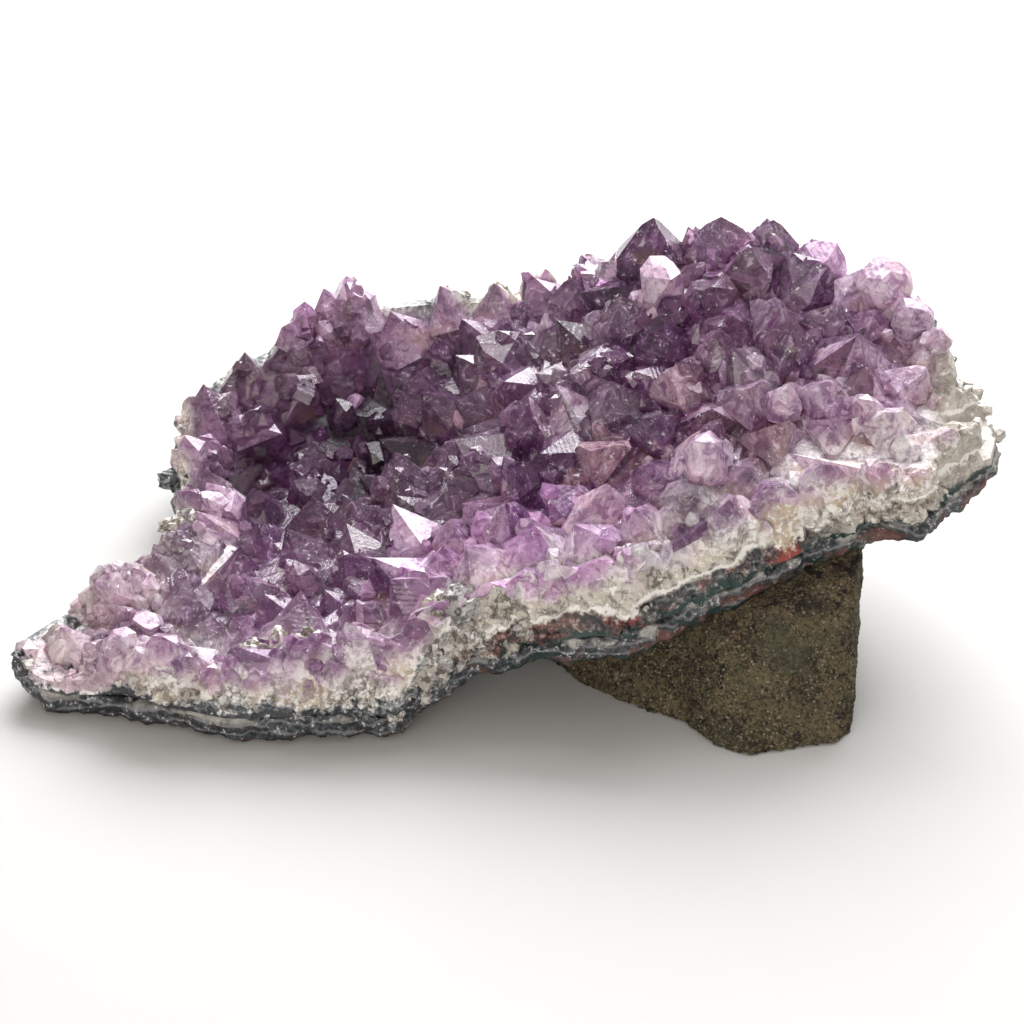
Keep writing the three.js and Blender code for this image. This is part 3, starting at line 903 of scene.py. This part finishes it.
def amethyst():
    """Clear purple quartz over a granular white foot, with a band of rock where the foot meets the rind."""
    s = Quartz()
    # the white of the cracks and specks is partly painted glint
    crack_and_painted_glint, foot_white = (0.97, 0.95, 0.97), (0.95, 0.93, 0.95)
    floor_dark, floor_light = (0.15, 0.065, 0.14), (0.42, 0.29, 0.41)
    common = s.line(s.own, -1, 1)
    ragged = s.plus(s.rise, s.line(s.broad, 9, s.line(s.fine, 5, -7)))
    near = s.between(s.times(s.inward, s.between(s.in_front, 0.2, 1, 2.6, 1)), 14, 5)
    squat = s.along((0.05, 0.62), (0.3, 0.58), (0.45, 0.50), (0.7, 0.5), (0.85, 0.36), (0.95, 0.34))
    foot = s.times(s.between(s.times(ragged, squat), 5, 2), near)
    low = s.between(s.times(s.line(s.broad, 8, s.rise), squat), 10.5, 5.5)
    root = s.times(s.between(s.depth, 0.0, 5, 0.1, 0.95), s.between(s.inward, 18, 6))
    fading = s.times(root, s.times(low, s.in_front))
    white = s.times(s.most(foot, fading), s.between(s.left, 0, 1, 1, 0.35), common)
    underside = s.times(s.between(s.rise, 1.2, 0.2), s.between(s.own, 0.75, 1.0, 1.0, 0.0))
    band_height = s.along(
        (0.08, 0.1), (0.2, 0.22), (0.38, 0.26), (0.45, 0.6), (0.56, 0.75), (0.68, 0.7), (0.78, 0.35),
        (0.86, 0.4), (0.95, 0.8),
    )
    over_band = s.math("SUBTRACT", ragged, s.times(band_height, 10))
    band = s.times(s.between(over_band, 0.7, -0.7), near, common)
    speck = speckles(s)

    colour = s.mix(speck, s.mix(white, crystal_colour(s), foot_colour(s, foot)), crack_and_painted_glint)
    # the floor between crystals goes dark in the pocket's painted shade
    floor = s.mix(s.between(s.painted_light, 0.3, 1), floor_dark, floor_light)
    under = s.mix(s.between(s.inward, 8, 20), foot_white, floor)
    colour = s.mix(band, s.mix(underside, colour, under), seam_colour(s))

    clear = s.times(s.between(s.attribute("milk"), 0, 1, 0.8, 0.25), s.between(white, 0, 1, 1, 0.25))
    clear = s.times(clear, s.between(s.most(s.veil, speck), 0, 1, 1, 0.45))
    clear = s.times(clear, s.between(s.most(band, underside), 0, 1, 1, 0))
    clear = s.times(clear, s.between(s.own, 0.7, 1, 1, 0.4))

    rough = s.plus(s.between(s.broad, 0.4, 0.7, 0.06, 0.2), s.times(s.most(white, band), 0.25))
    rough = s.plus(rough, s.between(s.painted_light, 0.2, 1.0, 0.08, 0.0))
    growth_lines = s.math("SINE", s.times(s.line(s.fine, 0.6, s.depth), 9))
    grainy = s.most(s.between(s.rise, 12, 5, 0.55, 2.2), s.line(s.own, 2.4, 0.5))
    height = s.line(growth_lines, 0.08, s.times(s.fine, grainy))
    s.surface(
        Base_Color=colour, Roughness=rough, Transmission_Weight=clear, IOR=QUARTZ_IOR,
        Normal=s.bump(height, 0.15, 0.55),
    )
    s.absorb(QUARTZ_LETS_THROUGH, QUARTZ_DENSITY)
    return s.material


mesh.materials.clear()
mesh.materials.append(amethyst())
mesh.polygons.foreach_set("material_index", [0] * len(mesh.polygons))
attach(crystals, "root")
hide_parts("amethyst_crust")

# The rind and the block


def refined(node, name, voxel, layers):
    """A node's solid on a fine net, with layers of noise on its surface: size and amount in millimetres."""
    bm = welded(node)
    coarse = bpy.data.meshes.new(name)
    bm.to_mesh(coarse)
    bm.free()
    o = object_of(name, coarse)
    net = o.modifiers.new("net", "REMESH")
    net.mode = "VOXEL"
    net.voxel_size = voxel * MM
    net.use_smooth_shade = True
    fine = applied(o, name)
    bpy.data.objects.remove(o)
    places = np.array([v.co[:] for v in fine.vertices])
    normals = np.array([v.normal[:] for v in fine.vertices])
    for size, amount in layers:
        moves = [noise.fractal(Vector(p) / (size * MM), 0.8, 2.1, 3) for p in places]
        places = places + normals * np.array(moves)[:, None] * amount * MM
    places[:, 2] = np.maximum(places[:, 2], 0)  # it rests on the table
    fine.vertices.foreach_set("co", places.astype(np.float32).ravel())
    fine.update()
    return object_of(name, fine)


def agate():
    """Dark grey agate: pale bands, chalky patches, a black or teal skin, and red jasper at the right."""
    slate, ash = (0.012, 0.015, 0.021), (0.095, 0.102, 0.117)
    pale, white = (0.46, 0.47, 0.49), (0.68, 0.69, 0.69)
    chalk_dark, chalk_light = (0.28, 0.26, 0.22), (0.92, 0.90, 0.86)
    jasper_dark, jasper_light = (0.07, 0.02, 0.015), (0.24, 0.085, 0.065)
    soot, teal, rust = (0.022, 0.024, 0.028), (0.014, 0.040, 0.036), (0.10, 0.055, 0.035)
    quartz = (0.80, 0.78, 0.79)
    s = Shader("agate")
    x, y, _ = s.place()
    fine = s.noise(0.9, 5, 0.7)
    broad = s.noise(5, 3)
    facing = s.node("ShaderNodeNewGeometry").outputs["Normal"]
    up = s.node("ShaderNodeSeparateXYZ", {0: facing}).outputs["Z"]
    seam_level = s.attribute("level")
    level = s.line(s.noise(9, 2), 5, s.plus(seam_level, -2.5))
    right = s.between(x, -6 * MM, 6 * MM)
    colour = s.mix(s.between(fine, 0.4, 0.58), slate, ash)
    bands = s.between(s.math("SINE", s.times(level, 3.4)), 0.35, 0.9)
    colour = s.mix(s.times(bands, 0.3), colour, pale)
    colour = s.mix(s.between(fine, 0.585, 0.64), colour, white)
    chalky = s.times(s.between(level, -2.0, 0.2), s.between(broad, 0.42, 0.56))
    colour = s.mix(s.times(chalky, 0.8), colour, s.mix(fine, chalk_dark, chalk_light))
    red_band = s.between(s.math("ABSOLUTE", s.plus(level, 4.2)), 2.6, 1.4)
    red = s.times(red_band, right, s.between(broad, 0.40, 0.52), s.between(y, 10 * MM, 0))
    colour = s.mix(s.times(red, 0.8), colour, s.mix(fine, jasper_dark, jasper_light))
    skin = s.between(s.plus(up, s.line(fine, 0.8, -0.4)), -0.1, -0.4)
    colour = s.mix(skin, colour, s.mix(s.between(broad, 0.5, 0.62), s.mix(right, soot, teal), rust))
    under_quartz = s.times(s.between(s.attribute("inward"), 2, 3.5), s.between(seam_level, 0, 1))
    colour = s.mix(under_quartz, colour, quartz)
    rough = s.between(fine, 0.3, 0.7, 0.35, 0.65)
    s.surface(Base_Color=colour, Roughness=rough, Normal=s.bump(fine, 0.6, 0.8))
    return s.material


def basalt():
    """Brown, fine-grained rock with pits, pale grains and mossy patches, rusty near its top."""
    brown_dark, brown_light, pit = (0.007, 0.005, 0.0022), (0.15, 0.117, 0.062), (0.008, 0.006, 0.004)
    pale_grain, moss = (0.30, 0.28, 0.22), (0.07, 0.072, 0.042)
    rust_dark, rust_light, rust_pit = (0.02, 0.008, 0.005), (0.15, 0.055, 0.035), (0.010, 0.006, 0.004)
    s = Shader("basalt")
    x, _, z = s.place()
    grain = s.cells(0.3)
    fine = s.noise(1.0, 6, 0.85)
    shade = s.line(fine, 0.8, s.times(grain, 0.2))
    shade = s.plus(shade, s.between(s.noise(7, 3), 0.35, 0.65, -0.05, 0.05))
    colour = s.mix(s.between(shade, 0.34, 0.66), brown_dark, brown_light)
    colour = s.mix(s.between(s.noise(1.6, 2), 0.36, 0.31), colour, pit)
    colour = s.mix(s.between(grain, 0.93, 0.97, 0, 0.6), colour, pale_grain)
    colour = s.mix(s.between(s.noise(9, 3), 0.5, 0.7, 0, 0.5), colour, moss)
    height = s.math("SUBTRACT", z, s.line(x, 0.22, 4.5 * MM))  # the top slopes up to the right
    height = s.plus(s.line(fine, 4 * MM, height), s.times(s.noise(4, 2), 6 * MM))
    rusty = s.times(s.between(height, 7 * MM, 11 * MM), s.between(s.noise(5, 4), 0.40, 0.58, 0.1, 0.85))
    rusty = s.times(rusty, s.between(x, 44 * MM, 30 * MM, 0.15, 1))
    colour = s.mix(rusty, colour, s.mix(s.between(shade, 0.4, 0.6), rust_dark, rust_light))
    pits = s.times(s.between(height, 6 * MM, 11 * MM), s.between(s.noise(2.4, 3), 0.47, 0.40))
    colour = s.mix(pits, colour, rust_pit)
    s.surface(Base_Color=colour, Roughness=0.85, Normal=s.bump(shade, 0.35, 0.8))
    return s.material


rind = refined("agate_rind", "rind", 0.66, ((7, 0.9), (2.2, 0.6)))
store(rind.data, "level", "FLOAT", "POINT", [over_seam(v.co) for v in rind.data.vertices])
store(rind.data, "inward", "FLOAT", "POINT", [inward(v.co) for v in rind.data.vertices])
rind.data.materials.append(agate())
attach(rind, "root")
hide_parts("agate_rind")
block = refined("basalt_block", "block", 0.5, ((5, 0.35), (1.1, 0.3)))
block.data.materials.append(basalt())
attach(block, "root")
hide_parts("basalt_block")

# Floor, light and camera

FLOOR_REACH = 3  # metres each way from the middle
FLOOR_GAP = 0.2 * MM  # under the object


def paper():
    s = Shader("paper")
    light, dark = (0.52, 0.52, 0.515), (0.50, 0.50, 0.495)
    colour = s.mix(s.noise(30, 3), light, dark)
    s.surface(Base_Color=colour, Roughness=0.7, Normal=s.bump(s.noise(0.6, 2), 0.02, 0.2))
    return s.material


def studio():
    """Light from all round, brighter towards the top and the back, and warm from low down."""
    warm, white = (1.0, 0.86, 0.73), (1.0, 1.0, 1.0)
    world = bpy.data.worlds.new("studio")
    world.use_nodes = True
    s = Nodes(world.node_tree)
    sky = world.node_tree.nodes["Background"]
    direction = s.node("ShaderNodeTexCoord").outputs["Generated"]
    upward = s.vector("DOT_PRODUCT", direction, (0, 0.3, 0.95))
    strength = {"Value": upward, "From Min": -0.2, "From Max": 0.9, "To Min": 0.13, "To Max": 0.65}
    s.put(sky.inputs["Strength"], s.node("ShaderNodeMapRange", strength).outputs[0])
    s.put(sky.inputs["Color"], s.mix(upward, warm, white))
    return world


def softbox(name, place, aim, size, power, colour=(1, 1, 1)):
    """A rectangular lamp that faces a point. Places and sizes are in metres."""
    lamp = bpy.data.lights.new(name, "AREA")
    lamp.shape = "RECTANGLE"
    lamp.size, lamp.size_y = size
    lamp.energy = power
    lamp.color = colour
    o = object_of(name, lamp)
    o.location = place
    o.rotation_euler = (Vector(aim) - Vector(place)).to_track_quat("-Z", "Y").to_euler()


floor_corners = [(x * FLOOR_REACH, y * FLOOR_REACH, 0) for x, y in ((-1, -1), (1, -1), (1, 1), (-1, 1))]
floor_mesh = bpy.data.meshes.new("floor")
floor_mesh.from_pydata(floor_corners, [], [(0, 1, 2, 3)])
floor = object_of("floor", floor_mesh)
floor.location.z = -FLOOR_GAP
floor.data.materials.append(paper())
floor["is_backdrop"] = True

bpy.context.scene.world = studio()
softbox("back_light", place=(0.12, 0.52, 0.48), aim=(0, 0.03, 0.03), size=(0.8, 0.5), power=12.5)
softbox("top_light", place=(0.12, 0.26, 0.72), aim=(0, 0.03, 0.03), size=(0.4, 0.3), power=1.3)
softbox(
    "fill_light", place=(-0.12, -0.70, 0.30), aim=(0, 0, 0.03), size=(0.8, 0.4), power=2.7,
    colour=(1.0, 0.955, 0.89),
)

AIM = Vector((0.825, -24.866, 29)) * MM
ELEVATION = math.radians(32)
DISTANCE = 380 * MM
SENSOR_WIDTH = 36
PICTURE_WIDTH = 1024  # in pixels
FOCAL_LENGTH = 2337  # in the same pixels
camera = bpy.data.cameras.new("camera")
camera.sensor_width = SENSOR_WIDTH
camera.lens = FOCAL_LENGTH / PICTURE_WIDTH * SENSOR_WIDTH
camera.clip_start = 0.01
eye = object_of("camera", camera)
eye.location = AIM + DISTANCE * Vector((0, -math.cos(ELEVATION), math.sin(ELEVATION)))
eye.rotation_euler = (math.pi / 2 - ELEVATION, 0, 0)
bpy.context.scene.camera = eye
bpy.context.scene.view_settings.view_transform = "Standard"
cycles = bpy.context.scene.cycles
cycles.max_bounces = 7
cycles.diffuse_bounces = 3
cycles.glossy_bounces = 2
cycles.transmission_bounces = 5

crust.free()
boxes = {"cad": cad_box, "visual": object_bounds()}
{k: [[round(c, 5) for c in corner] for corner in b] for k, b in boxes.items()}
